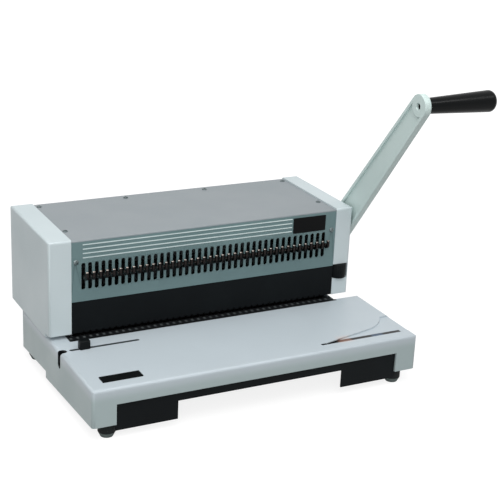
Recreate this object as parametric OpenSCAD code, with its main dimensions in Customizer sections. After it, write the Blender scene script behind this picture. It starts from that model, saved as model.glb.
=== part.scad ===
// Desk-top wire binding machine worked by a hand lever.
// The lever turns a shaft whose pinions drive two racks, and these push a bar of square punches
// through the paper in the throat. Above the throat, wire hooks stand out of a slotted panel.
// Drawn with X along the punch row (0 at its middle), Y from the front panel to the back
// (0 at the panel's face) and Z up from the desk. placed() then puts the origin on the desk,
// at the middle of the whole machine.

/* [Punch row] */
// Number of holes punched in one stroke
hole_count = 40; // [30:1:44]
// Distance from one hole to the next
hole_pitch = 8.467; // [8.2:0.001:8.8]
// Side of one square punch pin
pin_side = 4; // [3:0.1:4.4]
// Distance of the punch line behind the face of the front panel
pin_setback = 7; // [6:0.1:8]
// Distance from a hole's centre to the edge of the paper
paper_margin = 5; // [4:0.1:6]
// Height of the throat that takes the paper
throat_gap = 5; // [4.6:0.1:6]
// Thickness of the die plate
die_t = 8; // [6:0.5:9]
// Thickness of the punch guide
guide_t = 10; // [8:0.5:12]
// Depth of the punch bar, guide and die plate from front to back
block_depth = 23; // [21:0.5:25]
// Height of the punch bar
bar_h = 18; // [14:1:20]
// Thickness of the strip that holds the pins
clamp_t = 5; // [3:0.5:6]
// Diameter of the two guide pillars
pillar_d = 8; // [6:0.5:9]
// Distance of a guide pillar from the end of the punch row
pillar_inset = 15; // [10:1:40]
// Wire diameter of the return springs
spring_wire = 1.2; // [0.8:0.1:1.4]
// Turns in each return spring
spring_turns = 5; // [4:1:5]

/* [Drive] */
// Angle that the lever is pulled through
pull_angle = 60; // [45:1:61]
// Tooth size of pinions and racks, as pitch diameter per tooth
gear_module = 1.5; // [1.4:0.05:1.55]
// Teeth on a pinion
gear_teeth = 16; // [15:1:17]
// Width of a pinion and of its rack
gear_w = 9; // [7:0.5:12]
// Distance of the racks from the middle of the row
rack_offset = 110; // [80:1:125]
// Thickness of a rack behind its teeth
rack_t = 6; // [4:0.5:6.5]
// Diameter of the main shaft
shaft_d = 14; // [12:0.5:15]
// Distance of the main shaft behind the face of the front panel
shaft_setback = 35; // [34.5:0.5:40]
// Height of the main shaft above the tray
shaft_rise = 89.6; // [86:0.1:93]
// Wall of the shaft bushes
bush_wall = 3; // [2:0.5:4]

/* [Body] */
// First hole to the left end cap
panel_margin_left = 15.4; // [15:0.1:22]
// Last hole to the right end cap
panel_margin_right = 17.4; // [15:0.1:22]
// Width of the left end cap
cap_left_w = 28.5; // [24:0.5:36]
// Width of the right end cap
cap_right_w = 24; // [23.5:0.5:30]
// Wall of the end caps
cap_wall = 2; // [1.5:0.1:2.2]
// How far the end caps stand in front of the panel
cap_proud = 1; // [0.8:0.1:1.5]
// Rounding of the end caps' edges
cap_round = 3; // [2:0.25:4]
// Front panel's face to the back of the end caps
body_depth = 150; // [142:1:170]
// Height of the end caps above the tray
body_h = 125; // [122:1:140]
// How far the top and rear covers lie inside the end caps' outer edges
cover_drop = 2; // [1:0.25:3]
// Thickness of the sheet covers
sheet_t = 1.5; // [1:0.1:1.8]
// Thickness of the two side frames
frame_t = 3; // [2.5:0.25:3.5]

/* [Front panels] */
// Height of the throat panel's upper edge above the tray
throat_panel_h = 45.5; // [42:0.5:50]
// Thickness of the throat panel
throat_panel_t = 2; // [1.5:0.1:2.4]
// Width of the notches in the throat panel's lower edge
notch_w = 2.2; // [1.6:0.1:4]
// Height of those notches
notch_h = 1.8; // [1.2:0.1:4]
// Width of a hook slot
slot_w = 5; // [4.2:0.1:5.6]
// Height of a hook slot
slot_h = 34; // [30:0.5:36]
// Lower end of the hook slots above the tray
slot_rise = 60.5; // [59:0.5:62]
// Number of trim lines above the slots
line_count = 4; // [2:1:4]
// Distance from one trim line to the next
line_pitch = 5.5; // [4:0.1:5.8]
// Height of one trim line
line_h = 1.2; // [0.8:0.1:2.5]
// Width of the bare plate on the front panel
badge_w = 47.5; // [30:0.5:60]
// Height of the bare plate on the front panel
badge_h = 20.5; // [16:0.5:22]

/* [Hooks] */
// Thickness of a wire hook
hook_t = 2.8; // [1.6:0.1:3]
// Height of a hook's stem
hook_stem_h = 4; // [3:0.1:5]
// How far the hooks reach in front of the panel
hook_reach = 14; // [11:0.5:18]
// Inner radius of a hook's cradle
hook_cradle_r = 2.2; // [1.6:0.1:2.6]
// Thickness of a hook's cradle and prong
hook_wall = 3.2; // [2:0.1:3.6]
// Height of a hook's prong above the middle of its cradle
hook_prong_rise = 5; // [2:0.25:6]
// Height of the rail that carries the hooks
rail_h = 12; // [9:0.5:13]
// Thickness of that rail
rail_t = 6; // [4:0.5:6]

/* [Height wheel] */
// Diameter of the thumb wheel
wheel_d = 20; // [17:0.5:20.4]
// Height of the thumb wheel
wheel_h = 19; // [14:0.5:21]
// Lower edge of the thumb wheel above the tray
wheel_rise = 28; // [26:0.5:30]
// Number of flutes round the thumb wheel
flute_count = 24; // [16:1:28]
// Diameter of the lift screw
screw_d = 5; // [4:0.1:5.4]

/* [Base] */
// Depth of the tray in front of the panel
tray_depth = 147; // [142:1:190]
// Base behind the front panel's face
base_back = 110; // [106:1:125]
// How far the base reaches past the right end cap
base_extra = 16; // [14:0.5:24]
// How far the end cap hangs over the left side of the base
base_tuck = 1; // [0.5:0.25:2]
// Height of the base's skirt
skirt_h = 46; // [44:0.5:55]
// How far the skirt is cut short behind the step
skirt_lift = 9; // [4:0.5:10]
// How far the skirt's lower edge falls from the front to the step
skirt_fall = 9.5; // [0:0.5:10]
// Height of the front skirt above the desk
foot_h = 19; // [14:0.5:22]
// How far the tray ends in front of the panel, beside the right end of the body
tray_gap = 4; // [3:0.5:8]
// Wall of the base's skirt
base_wall = 3; // [2.5:0.25:3.5]
// Thickness of the base's top
base_top_t = 4; // [3.5:0.25:5]
// Rounding of the base's edges
base_round = 4; // [3:0.25:5]
// Height of the arch in the front skirt
arch_h = 25.5; // [20:0.5:28]
// Length of skirt left standing at each end of the arch
arch_leg = 29; // [24:0.5:40]
// Width of one tab of the chassis' front plate
tab_plate_w = 77; // [50:1:90]
// Clearance of those tabs above the desk
tab_plate_clear = 10; // [6:0.5:12]
// Thickness of the chassis sheet
chassis_t = 2; // [1.5:0.25:2.5]
// Diameter of a rubber foot at its top
foot_d = 21; // [17:0.5:22]
// Distance of a front foot's centre from the base's sides
foot_inset = 23; // [16:0.5:23.5]
// Distance of a front foot's centre from the base's front
foot_setback = 15.5; // [15:0.5:20]
// Distance of a rear foot's centre from the base's sides and back
rear_foot_inset = 15; // [14.5:0.5:20]
// Width of the bare plate on the base
plate_w = 49; // [30:1:55]
// Depth of the bare plate on the base
plate_d = 15; // [10:0.5:18]
// Depth of the flared scoop in the tray
scoop_depth = 2.2; // [1:0.1:2.4]
// Width of the gauge slot along the scoop
gauge_w = 4; // [2.5:0.1:5]
// Length of the gauge slot
gauge_length = 118; // [90:1:118]

/* [Edge guide] */
// Distance of the guide's groove in front of the panel
groove_setback = 34; // [28:0.5:45]
// Width of the groove
groove_w = 5; // [4:0.1:6]
// Length of the groove
groove_length = 89; // [60:1:120]
// Width of the slot over the base's left edge, in line with the groove
edge_slot_w = 9.5; // [6:0.5:12]
// Reach of that slot into the tray
edge_slot_in = 10; // [7:0.5:12]
// Reach of that slot down the base's side
edge_slot_drop = 21; // [15:0.5:24]
// Width of the edge guide
edge_guide_w = 13; // [10:0.5:18]
// Depth of the edge guide
edge_guide_d = 9; // [7:0.5:14]
// Height of the edge guide
edge_guide_h = 10.5; // [8:0.5:16]

/* [Lever] */
// Shaft to grip bolt
lever_length = 253; // [225:1:280]
// Lean of the resting lever, forward from upright
lever_lean = 38.6; // [30:0.1:45]
// Thickness of the lever arm
arm_t = 9; // [7:0.5:12]
// Radius of the arm's lower end
hub_r = 20; // [17:0.5:23]
// Radius of the arm's upper end
tip_r = 15; // [12:0.5:17]
// Width of the rim round the arm's hollow faces
arm_rim = 4; // [3:0.25:6]
// Depth of the hollow in each face of the arm
arm_hollow = 3; // [2:0.25:3]
// Gap between the right end cap and the arm
arm_gap = 2.5; // [2:0.25:4]
// Length of the hand grip
grip_length = 100; // [80:1:120]
// Diameter of the grip beside the arm
grip_d_inner = 19; // [16:0.5:21]
// Largest diameter of the grip, near its end
grip_d_outer = 27; // [24:0.5:30]
// Rounding of the grip's end
grip_end_r = 7; // [4:0.5:10]
// Diameter of the grip's bolt
grip_bolt_d = 8; // [6:0.5:9]

/* [Waste drawer] */
// Height of the drawer
drawer_h = 16; // [12:0.5:17]
// Wall of the drawer
drawer_wall = 1.5; // [1.2:0.1:2]
// How far the drawer's pull stands out
pull_reach = 8; // [6:0.5:12]

/* [Fits] */
// Gap between sliding pieces
slide_gap = 0.3; // [0.2:0.05:0.4]
// Gap round a turning shaft
turn_gap = 0.05; // [0.02:0.01:0.08]
// Gap between a punch pin and its hole, on each side
pin_gap = 0.15; // [0.1:0.01:0.25]

/* [Hidden] */
$fn = 48;
over = 1;

// Screw sizes: shank radius, head radius and head height
screw_r = 1.8;
screw_head_r = 3.2;
screw_head_h = 1.6;
screw_length = 9;
cross_l = 3.6;
cross_w = 0.8;
cross_depth = 0.7;
bolt_r = 2.5;
bolt_head_r = 4.5;
bolt_head_h = 4;

// Row of holes, slots and hooks along X
row_half = (hole_count - 1) * hole_pitch / 2;
row_x = [for (i = [0 : hole_count - 1]) i * hole_pitch - row_half];
inner_left = -row_half - panel_margin_left;
inner_right = row_half + panel_margin_right;
outer_left = inner_left - cap_left_w;
outer_right = inner_right + cap_right_w;
frame_left = inner_left + frame_t;
frame_right = inner_right - frame_t;

// Base
base_left = outer_left + base_tuck;
base_right = outer_right + base_extra;
base_front = -tray_depth;
tray_z = foot_h + skirt_h;
base_ceiling = tray_z - base_top_t;
arch_z = tray_z - skirt_h + arch_h;
step_y = 16;
skirt_low = foot_h - skirt_fall - 2 * base_round;
skirt_slope = skirt_fall / (step_y - base_front);
body_base_wall = 4;
body_base_right = inner_right + body_base_wall;
tray_back = -tray_gap;

// Chassis floor under the mechanism
floor_rise = 14;
floor_z = foot_h + floor_rise;
floor_top = floor_z + chassis_t;
sheet_gap = 0.3;

// Round hole that lightens each side frame
frame_hole_y = 92;
frame_hole_r = 20;

// Back of the side frames below the overhang, and the spare room of the hook rail in its slots
frame_back_in = 10;
frame_back = base_back - frame_back_in;
rail_slot_spare = 0.5;

// Heights of the body
throat_top = tray_z + throat_gap;
panel_z = tray_z + throat_panel_h;
body_top = tray_z + body_h;
cover_top = body_top - cover_drop;
cover_under = cover_top - sheet_t;
back_face = body_depth - cover_drop;
back_inner = back_face - sheet_t;
relief_spare = 1;
relief_y = pin_setback + paper_margin + relief_spare;

// Pinions and racks
pitch_r = gear_module * gear_teeth / 2;
tooth_out = 0.85 * gear_module;
tooth_in = 1.1 * gear_module;
tooth_step = PI * gear_module;
backlash = 0.2;
pressure_angle = 20;
stroke = pitch_r * pull_angle * PI / 180;
shaft_z = tray_z + shaft_rise;
pitch_line = shaft_setback - pitch_r;
rack_front = pitch_line - tooth_in - rack_t;
rack_reach = 8;
rack_top = shaft_z + stroke + rack_reach;
rack_foot_h = 8;
rack_foot_wing = 11;
rack_foot_w = gear_w + 2 * rack_foot_wing;
rack_foot_toe = 2;
rack_screw_in = 5;
rack_screw_y = rack_front + (rack_t + rack_foot_toe) / 2;
shaft_r = shaft_d / 2;
shaft_stub = 6;
collar_wall = 4;
collar_w = 5;
bush_r = shaft_r + turn_gap + bush_wall;

// Punch unit
block_front = throat_panel_t;
block_back = block_front + block_depth;
stop_front = pin_setback + paper_margin;
guide_z = throat_top;
guide_top = guide_z + guide_t;
stroke_spare = 2.4;
clamp_z = guide_top + stroke + stroke_spare;
bar_z = clamp_z + clamp_t;
bar_top = bar_z + bar_h;
bar_inset = 1;
bar_front = block_front + bar_inset;
tip_inset = 0.5;
clamp_edge = 2.5;
clamp_back = pin_setback + pin_side / 2 + clamp_edge;
pillar_x = row_half - pillar_inset;
pillar_r = pillar_d / 2;
pillar_edge = 2;
pillar_y = block_back - pillar_r - pillar_edge;
pillar_nut_wall = 3;
pillar_nut_r = pillar_r + pillar_nut_wall;
pillar_nut_h = 5;
stack_bolt_edge = 0.5;
stack_bolt_y = block_back - bolt_head_r - stack_bolt_edge;
stack_bolt_inset = 5.5;
die_tab_l = 9;
die_tab_t = 3;
die_z = tray_z - die_t;

// Hooks and their lift
slot_z = tray_z + slot_rise;
hook_z = slot_z + slot_h / 2;
hook_spare = 1;
hook_travel = (slot_h - slot_w - hook_stem_h) / 2 - hook_spare;
rail_front = pin_setback;
rail_back = rail_front + rail_t;
rail_z = hook_z - rail_h / 2;
rail_end = 6;
lift_plate_t = 3;
wheel_z = tray_z + wheel_rise;
wheel_x = (inner_right + outer_right - cap_wall) / 2;
wheel_gap = 0.5;
wheel_y = cap_wall - cap_proud + screw_d / 2 + wheel_gap;
ledge_t = 3;
ledge_edge = 3;
hub_wall = 1.5;
wheel_hub_r = screw_d / 2 + hub_wall;
lift_screw_z = throat_top + cap_wall + hook_travel + wheel_gap;
lift_pin_r = 1.5;

// Screws of the panel and the covers
tab_l = 9;
tab_w = 13;
tab_t = 3;
panel_screw_rise = 96.5;
panel_screw_z = tray_z + panel_screw_rise;
tab_screw_in = 3;
side_screw_inset = frame_t + tab_screw_in;
top_screw_front = 38;
tie_depth = 20;
tie_front = body_depth - tie_depth;
tie_h = 16;
tie_t = 3;
top_screw_in = 12;
top_screw_back = body_depth - top_screw_in;
top_screw_third = 57;
rear_screw_drop = 10;
rear_screw_z = cover_under - rear_screw_drop;
cap_inner_round = 1;
cap_post_r = 5;
cap_post_low = [75, 30];
cap_post_back = [130, 25];
cap_post_high = [125, 100];
cap_post_yz = [for (p = [cap_post_low, cap_post_back, cap_post_high]) p + [0, tray_z]];

// Lever
arm_x = outer_right + arm_gap;
arm_out = arm_x + arm_t;
lever_dir = [-sin(lever_lean), cos(lever_lean)];
lever_side = [cos(lever_lean), sin(lever_lean)];
lever_pivot = [shaft_setback, shaft_z];
lever_tip = lever_pivot + lever_length * lever_dir;
hub_boss_in = 1;
tip_boss_in = 2;
grip_gap = 0.4;
grip_x = arm_out + grip_gap;
grip_end = grip_x + grip_length;
grip_bolt_depth = 78;
grip_socket = 3;
grip_bolt_r = grip_bolt_d / 2;

// Drawer and its runners
runner_t = 1.2;
drawer_side_gap = 0.8;
drawer_left = frame_left + runner_t + drawer_side_gap;
drawer_right = frame_right - runner_t - drawer_side_gap;
drawer_z = floor_top + runner_t + slide_gap;
drawer_front = 0;
drawer_lip = 2;
drawer_face_h = drawer_h + drawer_lip;
drawer_wing = 0.6;
drawer_back = base_back - base_wall;

// Edge guide
groove_inset = 13;
groove_start = base_left + groove_inset;
edge_guide_in = 12;
edge_guide_x = groove_start + edge_guide_in;
edge_screw_r = 1.2;
edge_screw_in = 5;
edge_neck = 6;
edge_clamp_t = 2.5;

// Bare plates
badge_t = 0.8;
badge_round = 1;
plate_corner = [19, 17];

// Feet of the machine, and the screws that hold the base to the chassis
front_foot_y = base_front + foot_setback;
rear_foot_y = base_back - rear_foot_inset;
foot_places = [
    [base_left + foot_inset, front_foot_y], [base_right - foot_inset, front_foot_y],
    [base_left + rear_foot_inset, rear_foot_y], [body_base_right - rear_foot_inset, rear_foot_y]
];
foot_r = foot_d / 2;
foot_sink = 2;
foot_top = foot_h + foot_sink;
foot_post_step = 1.5;
foot_recess_r = 4.5;
foot_seat_z = 8;
base_post_inset = 14;
base_post_left_y = [-60, 80];
base_post_right_y = [-110, -25];
base_posts = [
    for (y = base_post_left_y) [base_left + base_post_inset, y],
    for (y = base_post_right_y) [base_right - base_post_inset, y]
];
base_post_r = 6;

// Middle of the whole machine
mid_x = (outer_left + grip_end) / 2;
mid_y = (base_front + body_depth) / 2;

// Helpers

// Move the finished piece so that the origin is under the middle of the machine
module placed() {
    translate([-mid_x, -mid_y, 0]) children();
}

// Extrude an outline of Y and Z along X
module along_x(x0, x1) {
    translate([x0, 0, 0]) rotate([90, 0, 90]) linear_extrude(x1 - x0) children();
}

// Extrude an outline of X and Z along Y
module along_y(y0, y1) {
    translate([0, y1, 0]) rotate([90, 0, 0]) linear_extrude(y1 - y0) children();
}

// Extrude an outline of X and Y along Z
module along_z(z0, z1) {
    translate([0, 0, z0]) linear_extrude(z1 - z0) children();
}

module box(a, b) {
    translate(a) cube(b - a);
}

module rect(a, b) {
    translate(a) square(b - a);
}

// Rectangle with round corners, from corner a to corner b
module round_rect(a, b, r) {
    rect([a.x + r, a.y], [b.x - r, b.y]);
    rect([a.x, a.y + r], [b.x, b.y - r]);
    for (x = [a.x + r, b.x - r], y = [a.y + r, b.y - r]) translate([x, y]) circle(r);
}

// Slot with round ends along the first axis
module round_slot(x0, x1, y, w) {
    rect([x0 + w / 2, y - w / 2], [x1 - w / 2, y + w / 2]);
    for (x = [x0 + w / 2, x1 - w / 2]) translate([x, y]) circle(w / 2);
}

// Block whose edges are all rounded: the common part of three rounded extrusions
module soft_block(a, b, r) {
    intersection() {
        along_x(a.x, b.x) round_rect([a.y, a.z], [b.y, b.z], r);
        along_y(a.y, b.y) round_rect([a.x, a.z], [b.x, b.z], r);
        along_z(a.z, b.z) round_rect([a.x, a.y], [b.x, b.y], r);
    }
}

// Rod along X or Z
module rod_x(x0, x1, r) {
    translate([x0, 0, 0]) rotate([0, 90, 0]) cylinder(h = x1 - x0, r = r);
}

module rod_z(z0, z1, r) {
    translate([0, 0, z0]) cylinder(h = z1 - z0, r = r);
}

// Round-headed screw standing on the XY plane, shank downwards, with a cross slot
module round_screw(length = screw_length) {
    edge_h = 0.4 * screw_head_h;
    dome_r = 2 * screw_head_r;
    difference() {
        union() {
            cylinder(h = edge_h, r = screw_head_r);
            intersection() {
                cylinder(h = screw_head_h, r = screw_head_r);
                translate([0, 0, screw_head_h - dome_r]) sphere(dome_r);
            }
        }
        for (turn = [0, 90]) rotate(turn)
            box([-cross_l / 2, -cross_w / 2, screw_head_h - cross_depth],
                [cross_l / 2, cross_w / 2, screw_head_h + over]);
    }
    rod_z(-length, 0, screw_r);
}

// Socket-headed bolt standing on the XY plane, shank downwards
module socket_bolt(length) {
    difference() {
        cylinder(h = bolt_head_h, r = bolt_head_r);
        translate([0, 0, bolt_head_h / 2]) cylinder(h = bolt_head_h, r = bolt_r, $fn = 6);
    }
    rod_z(-length, 0, bolt_r);
}

// Base

// Flared scoop at the front right of the tray, open to the right: a straight taper, then an arc
gauge_margin = 11;
gauge_setback = 18;
gauge_y = base_front + gauge_setback;
scoop_run = 79;
scoop_rise = 20;
scoop_flare = 56;
scoop_flare_rise = 29;
scoop_start = [base_right - gauge_margin - gauge_length, gauge_y];
scoop_bend = scoop_start + [scoop_run, scoop_rise];
scoop_slope = atan2(scoop_rise, scoop_run);

module scoop_outline() {
    polygon([scoop_start, scoop_bend, [scoop_bend.x, gauge_y]]);
    difference() {
        rect([scoop_bend.x, gauge_y], [base_right + over, scoop_bend.y + scoop_flare_rise]);
        translate(scoop_bend + scoop_flare * [-sin(scoop_slope), cos(scoop_slope)])
            circle(scoop_flare, $fn = 96);
    }
}

// Space under the skirt: its lower edge falls towards the back and is cut short behind the step
function skirt_z(y) = foot_h - skirt_slope * (y - base_front);

module under_skirt() {
    front = base_front - over;
    back = base_back + over;
    along_x(base_left - over, base_right + over) polygon([
        [front, skirt_low - over], [back, skirt_low - over], [back, skirt_z(back) + skirt_lift],
        [step_y, skirt_z(step_y) + skirt_lift], [step_y, skirt_z(step_y)], [front, skirt_z(front)]
    ]);
}

module at_base_posts(z) {
    for (p = base_posts) translate([p.x, p.y, z]) children();
}

module base_cover() {
    wall = [base_wall, base_wall];
    tray = [[base_left, base_front], [base_right, tray_back]];
    body = [[base_left, base_front], [body_base_right, base_back]];
    opening_spare = 2;
    drawer_gap = 0.4;
    color("lightsteelblue") placed() difference() {
        union() {
            difference() {
                for (part = [tray, body])
                    soft_block([each part[0], skirt_low], [each part[1], tray_z], base_round);
                for (part = [tray, body])
                    box([each part[0] + wall, skirt_low - over], [each part[1] - wall, base_ceiling]);
                under_skirt();
            }
            at_base_posts(0) rod_z(floor_top, base_ceiling, base_post_r);
        }
        // Arch in the front skirt
        box([base_left + arch_leg, base_front - over, 0],
            [base_right - arch_leg, base_front + base_wall, arch_z]);
        // Opening for the punch unit and the side frames
        box([inner_left - sheet_gap, bar_front - sheet_gap, base_ceiling - over],
            [inner_right + sheet_gap, frame_back + opening_spare, tray_z + over]);
        // Opening for the drawer
        box([drawer_left - drawer_wing - drawer_gap, drawer_back - over, drawer_z - slide_gap],
            [drawer_right + drawer_wing + drawer_gap, base_back + over,
             drawer_z + drawer_face_h + 2 * slide_gap]);
        // Groove of the edge guide, and the slot over the left edge
        along_z(base_ceiling - over, tray_z + over)
            round_slot(groove_start, groove_start + groove_length, -groove_setback, groove_w);
        along_z(base_ceiling - over, tray_z + over)
            round_slot(base_left - edge_slot_w, base_left + edge_slot_in, -groove_setback, edge_slot_w);
        along_x(base_left - over, base_left + base_wall + over) rotate(90)
            round_slot(tray_z - edge_slot_drop, tray_z + edge_slot_w, groove_setback, edge_slot_w);
        // Scoop and gauge slot
        along_z(tray_z - scoop_depth, tray_z + over) scoop_outline();
        along_z(base_ceiling - over, tray_z + over)
            round_slot(scoop_start.x, scoop_start.x + gauge_length, gauge_y, gauge_w);
        // Screw holes in the posts
        at_base_posts(0) rod_z(floor_z, floor_top + screw_length, screw_r);
    }
}

module at_feet(z) {
    for (p = foot_places) translate([p.x, p.y, z]) children();
}

module chassis_frame() {
    front = base_front + base_wall;
    left = base_left + base_wall + sheet_gap;
    right = base_right - base_wall - sheet_gap;
    back = base_back - base_wall - sheet_gap;
    plate_left = base_left + arch_leg;
    plate_right = base_right - arch_leg;
    color("dimgray") placed() difference() {
        union() {
            box([left, front, floor_z], [right, tray_back - base_wall - sheet_gap, floor_top]);
            box([left, front, floor_z], [body_base_right - base_wall - sheet_gap, back, floor_top]);
            // Front plate behind the arch, with a tab at each end
            box([plate_left, front, floor_z], [plate_right, front + chassis_t, base_ceiling]);
            for (x = [plate_left, plate_right - tab_plate_w])
                box([x, front, tab_plate_clear], [x + tab_plate_w, front + chassis_t, floor_z]);
            // Posts for the feet
            at_feet(0) rod_z(foot_top, floor_z, foot_r - foot_post_step);
        }
        at_feet(0) rod_z(foot_top - over, floor_top + over, screw_r);
        at_base_posts(0) rod_z(floor_z - over, floor_top + over, screw_r);
    }
}

module rubber_feet() {
    flat_r = foot_r - 3;
    bevel = 0.5;
    bevel_z = 5;
    side_z = 6;
    color("black") placed() at_feet(0) rotate_extrude() difference() {
        polygon([
            [0, 0], [flat_r, 0], [foot_r - bevel, bevel_z],
            [foot_r, side_z], [foot_r, foot_top], [0, foot_top]
        ]);
        rect([-over, -over], [foot_recess_r, foot_seat_z]);
        rect([-over, -over], [screw_r, foot_top + over]);
    }
}

module foot_screws() {
    color("silver") placed() at_feet(foot_seat_z) mirror([0, 0, 1]) round_screw(floor_top - foot_seat_z);
}

module base_screws() {
    color("silver") placed() at_base_posts(floor_z) mirror([0, 0, 1]) round_screw(screw_length);
}

module base_badge() {
    corner = [base_left, base_front] + plate_corner;
    color("black") placed() along_z(tray_z, tray_z + badge_t)
        round_rect(corner, corner + [plate_w, plate_d], badge_round);
}

// Frames

// Outline of a side frame in Y and Z, with its notch for the paper throat
module frame_outline() {
    difference() {
        union() {
            rect([sheet_t, panel_z], [back_inner, cover_under]);
            rect([throat_panel_t, throat_top], [back_inner, panel_z + over]);
            rect([bar_front, floor_top], [frame_back, throat_top + over]);
        }
        rect([-over, tray_z], [relief_y, throat_top]);
        translate(lever_pivot) circle(bush_r);
        rect([rail_front - slide_gap, rail_z - hook_travel - rail_slot_spare],
             [rail_back + slide_gap, rail_z + rail_h + hook_travel + rail_slot_spare]);
        for (p = cap_post_yz) translate(p) circle(screw_r);
        translate([frame_hole_y, tray_z + body_h / 2]) circle(frame_hole_r);
    }
}

// Tabs bent inwards for the panel, the top cover and the die plate
module frame_tabs(inner, dir) {
    x0 = dir > 0 ? inner : inner - tab_l;
    x1 = x0 + tab_l;
    screw_x = dir > 0 ? inner_left + side_screw_inset : inner_right - side_screw_inset;
    bolt_x = inner + dir * stack_bolt_inset;
    difference() {
        union() {
            box([x0, sheet_t, panel_screw_z - tab_w / 2], [x1, sheet_t + tab_t, panel_screw_z + tab_w / 2]);
            box([x0, top_screw_front - tab_w / 2, cover_under - tab_t],
                [x1, top_screw_front + tab_w / 2, cover_under]);
            box([x0, bar_front, die_z - die_tab_t], [x1, block_back, die_z]);
        }
        translate([screw_x, sheet_t - over, panel_screw_z]) rotate([-90, 0, 0])
            rod_z(0, tab_t + 2 * over, screw_r);
        translate([screw_x, top_screw_front, 0]) rod_z(cover_under - tab_t - over, cover_top, screw_r);
        translate([bolt_x, stack_bolt_y, 0]) rod_z(die_z - die_tab_t - over, die_z + over, bolt_r);
    }
}

module left_side_frame() {
    color("slategray") placed() {
        along_x(inner_left, frame_left) frame_outline();
        frame_tabs(frame_left, 1);
    }
}

module right_side_frame() {
    color("slategray") placed() {
        along_x(frame_right, inner_right) frame_outline();
        frame_tabs(frame_right, -1);
    }
}

// Angle bar that ties the side frames together under the top cover
tie_screw_x = [
    inner_left + side_screw_inset, -top_screw_third, top_screw_third, inner_right - side_screw_inset
];

module tie_bar() {
    color("slategray") placed() difference() {
        along_x(frame_left, frame_right) polygon([
            [tie_front, cover_under], [tie_front, cover_under - tie_t],
            [back_inner - tie_t, cover_under - tie_t], [back_inner - tie_t, cover_under - tie_h],
            [back_inner, cover_under - tie_h], [back_inner, cover_under]
        ]);
        for (x = tie_screw_x) {
            translate([x, top_screw_back, 0]) rod_z(cover_under - tie_t - over, cover_top, screw_r);
            translate([x, back_inner - tie_t - over, rear_screw_z]) rotate([-90, 0, 0])
                rod_z(0, tie_t + 2 * over, screw_r);
        }
    }
}

// Body shells

// Outline of an end cap in Y and Z, drawn in by a wall, with the step over the throat
module cap_outline(inset, r) {
    difference() {
        round_rect([-cap_proud + inset, tray_z + inset], [body_depth - inset, body_top - inset], r);
        rect([-cap_proud - over, tray_z - over], [relief_y + inset, throat_top + inset]);
    }
}

// Hollow cap: open towards the side frame, with posts for its screws
module end_cap(outer, inner) {
    x0 = min(outer, inner);
    x1 = max(outer, inner);
    wall_x0 = outer < inner ? x0 + cap_wall : x0 - over;
    wall_x1 = outer < inner ? x1 + over : x1 - cap_wall;
    soft_x0 = outer < inner ? x0 : x0 - 2 * cap_round;
    soft_x1 = outer < inner ? x1 + 2 * cap_round : x1;
    difference() {
        intersection() {
            along_x(x0, x1) cap_outline(0, cap_round);
            along_y(-cap_proud, body_depth)
                round_rect([soft_x0, tray_z - 2 * cap_round], [soft_x1, body_top], cap_round);
            along_z(tray_z, body_top) round_rect([soft_x0, -cap_proud], [soft_x1, body_depth], cap_round);
        }
        along_x(wall_x0, wall_x1) cap_outline(cap_wall, cap_inner_round);
    }
    post_x0 = outer < inner ? x0 + cap_wall : x0;
    post_x1 = outer < inner ? x1 : x1 - cap_wall;
    for (p = cap_post_yz) translate([0, p.x, p.y]) difference() {
        rod_x(post_x0, post_x1, cap_post_r);
        translate([inner, 0, 0]) rod_x(-screw_length, screw_length, screw_r);
    }
}

module left_end_cap() {
    color("lightgray") placed() end_cap(outer_left, inner_left);
}

module right_end_cap() {
    window_z = wheel_z - wheel_gap;
    window_top = wheel_z + wheel_h + wheel_gap;
    ledge_back = wheel_y + wheel_hub_r + ledge_edge;
    shaft_hole_gap = 1;
    color("lightgray") placed() difference() {
        union() {
            end_cap(outer_right, inner_right);
            for (z = [window_z - ledge_t, window_top])
                box([inner_right, cap_wall - cap_proud, z],
                    [outer_right - cap_wall, ledge_back, z + ledge_t]);
        }
        // Window of the thumb wheel, with a bearing above and below it
        box([inner_right - over, -cap_proud - over, window_z],
            [outer_right - cap_wall, wheel_y + wheel_d / 2 + wheel_gap, window_top]);
        translate([wheel_x, wheel_y, 0])
            rod_z(window_z - ledge_t - over, window_top + ledge_t + over, wheel_hub_r + turn_gap);
        // Hole for the main shaft
        at_shaft() rod_x(outer_right - cap_wall - over, outer_right + over, shaft_r + shaft_hole_gap);
    }
}

module cap_screws() {
    head = screw_head_h;
    color("silver") placed() for (p = cap_post_yz) {
        translate([frame_left, p.x, p.y]) rotate([0, 90, 0]) round_screw(frame_t + screw_length - head);
        translate([frame_right, p.x, p.y]) rotate([0, -90, 0]) round_screw(frame_t + screw_length - head);
    }
}

module top_cover() {
    front_r = sheet_t / 2;
    color("darkgray") placed() difference() {
        along_x(inner_left, inner_right) union() {
            rect([front_r, cover_under], [back_face, cover_top]);
            rect([0, cover_under], [front_r, cover_top - front_r]);
            translate([front_r, cover_top - front_r]) circle(front_r);
        }
        for (x = tie_screw_x) translate([x, top_screw_back, 0])
            rod_z(cover_under - over, cover_top + over, screw_r);
        for (x = [tie_screw_x[0], tie_screw_x[3]])
            translate([x, top_screw_front, 0]) rod_z(cover_under - over, cover_top + over, screw_r);
    }
}

// Back wall with its lower edge turned under the overhang
module rear_cover() {
    color("darkgray") placed() difference() {
        along_x(inner_left, inner_right) polygon([
            [base_back + sheet_gap, tray_z], [back_face, tray_z],
            [back_face, cover_under], [back_inner, cover_under],
            [back_inner, tray_z + sheet_t], [base_back + sheet_gap, tray_z + sheet_t]
        ]);
        for (x = tie_screw_x) translate([x, back_inner - over, rear_screw_z]) rotate([-90, 0, 0])
            rod_z(0, sheet_t + 2 * over, screw_r);
    }
}

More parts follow.
